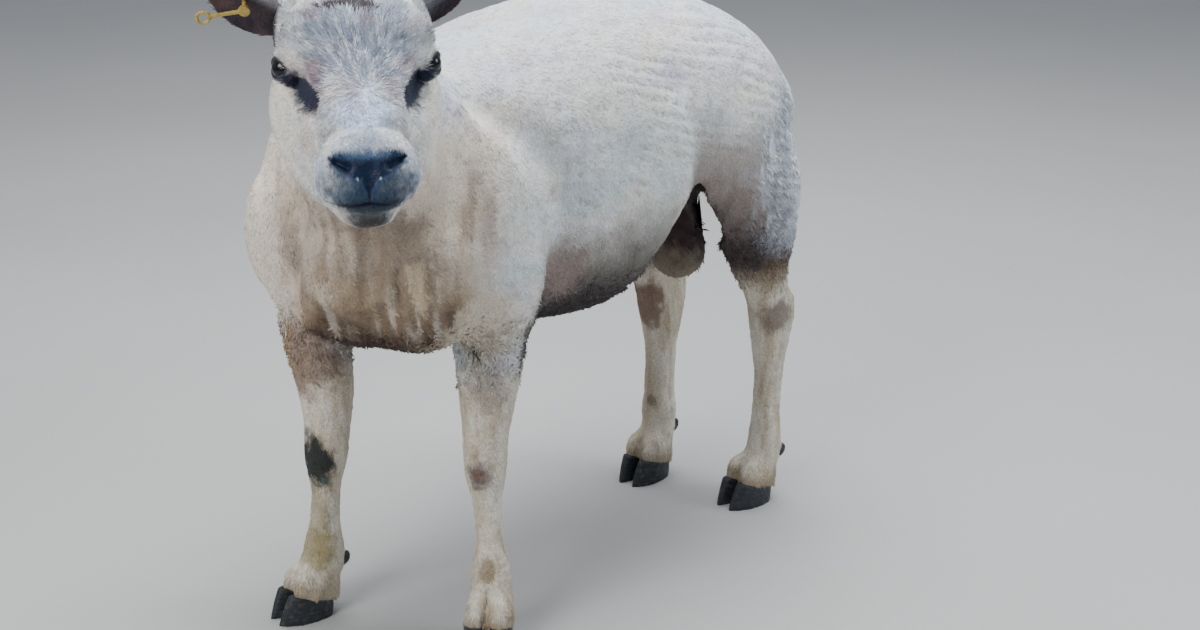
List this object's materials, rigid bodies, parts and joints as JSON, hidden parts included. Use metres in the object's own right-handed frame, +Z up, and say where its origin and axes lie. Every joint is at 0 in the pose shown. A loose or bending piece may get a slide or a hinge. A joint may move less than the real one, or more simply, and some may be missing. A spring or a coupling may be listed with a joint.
{
  "type": "shorn ram sheep",
  "caption": "Life-size shorn ram standing four-square with its head turned to its left towards the viewer, ears out, a ring tag in its right ear.",
  "frame": {"origin": "middle of the whole outline in plan, on the floor", "axes": "+Z up, -Y the way the trunk and feet face, +X the ram's left side; the head is turned 51 degrees from -Y towards +X"},
  "size_m": [0.5194, 0.969, 0.8647],
  "materials": {
    "wool": "close-shorn cream wool, greasy, with dirt at the belly and knees",
    "face_hair": "short white face hair over grey skin",
    "eye": "wet dark brown",
    "hoof": "dark slate horn, worn",
    "ear_tag": "yellow moulded plastic, no text"
  },
  "bodies": {
    "root": {"claw_foreleg_left_left": "hoof", "claw_foreleg_left_right": "hoof", "claw_foreleg_right_left": "hoof", "claw_foreleg_right_right": "hoof", "claw_hindleg_left_left": "hoof", "claw_hindleg_left_right": "hoof", "claw_hindleg_right_left": "hoof", "claw_hindleg_right_right": "hoof", "dewclaw_foreleg_left_left": "hoof", "dewclaw_foreleg_left_right": "hoof", "dewclaw_foreleg_right_left": "hoof", "dewclaw_foreleg_right_right": "hoof", "dewclaw_hindleg_left_left": "hoof", "dewclaw_hindleg_left_right": "hoof", "dewclaw_hindleg_right_left": "hoof", "dewclaw_hindleg_right_right": "hoof", "ear_left": "face_hair", "ear_right": "face_hair", "ear_tag": "ear_tag", "eye_left": "eye", "eye_right": "eye", "foreleg_left_lower": "wool", "foreleg_left_upper": "wool", "foreleg_right_lower": "wool", "foreleg_right_upper": "wool", "head": "face_hair", "hindleg_left_lower": "wool", "hindleg_left_upper": "wool", "hindleg_right_lower": "wool", "hindleg_right_upper": "wool", "neck": "wool", "scrotum": "wool", "tail": "wool", "trunk": "wool"}
  },
  "joints": []
}
